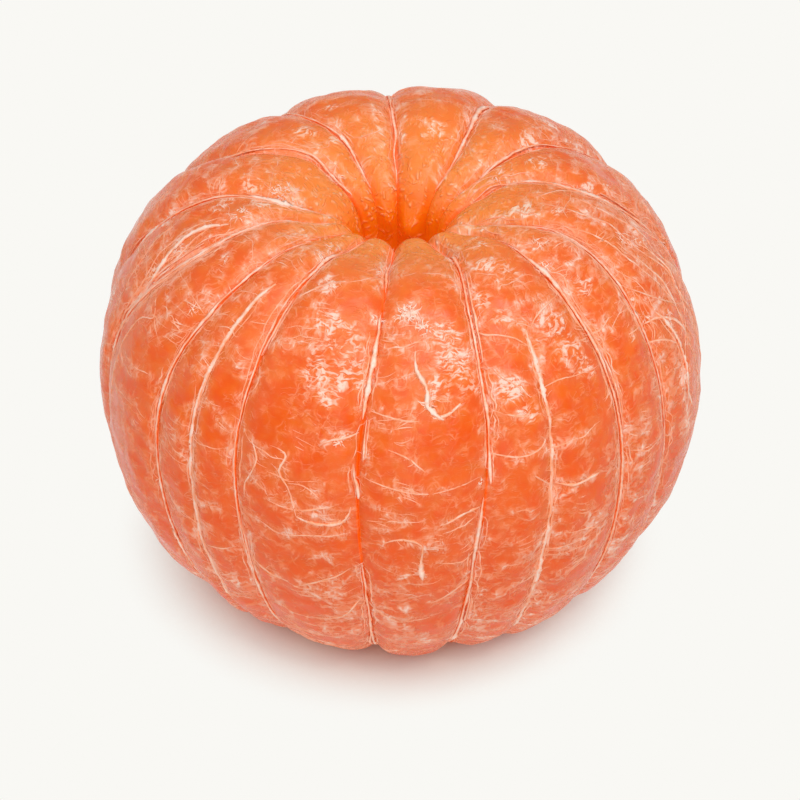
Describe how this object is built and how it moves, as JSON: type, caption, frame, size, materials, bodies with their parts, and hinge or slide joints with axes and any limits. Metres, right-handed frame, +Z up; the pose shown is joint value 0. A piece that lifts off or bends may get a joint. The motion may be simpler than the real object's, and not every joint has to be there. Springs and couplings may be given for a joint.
{
  "type": "peeled mandarin orange",
  "caption": "Whole peeled mandarin-type orange: a squat ring of juicy segments round a hollow axis, with white pith strings in the grooves, resting on flattened segment feet.",
  "frame": {"origin": "on the resting plane, under the hollow axis of the fruit", "axes": "+Z up along the fruit's hollow axis, out of the dimpled crown; -Y is the front, where azimuth 0 lies; +X to its right"},
  "size_m": [0.0642, 0.0647, 0.0465],
  "materials": {
    "segment_flesh": "moist, thin-skinned juicy membrane, glossy",
    "pith": "soft matt fibre"
  },
  "bodies": {
    "root": {"segment_01": "segment_flesh", "segment_02": "segment_flesh", "segment_03": "segment_flesh", "segment_04": "segment_flesh", "segment_05": "segment_flesh", "segment_06": "segment_flesh", "segment_07": "segment_flesh", "segment_08": "segment_flesh", "segment_09": "segment_flesh", "segment_10": "segment_flesh", "segment_11": "segment_flesh", "segment_12": "segment_flesh", "segment_13": "segment_flesh", "segment_14": "segment_flesh", "pith_string_01": "pith", "pith_string_02": "pith", "pith_string_03": "pith", "pith_string_04": "pith", "pith_string_05": "pith", "pith_string_06": "pith", "pith_string_07": "pith", "pith_string_08": "pith", "pith_string_09": "pith", "pith_string_10": "pith", "pith_string_11": "pith", "pith_string_12": "pith", "pith_string_13": "pith", "pith_string_14": "pith", "furrow_string_02": "pith", "furrow_string_13": "pith"}
  },
  "joints": []
}
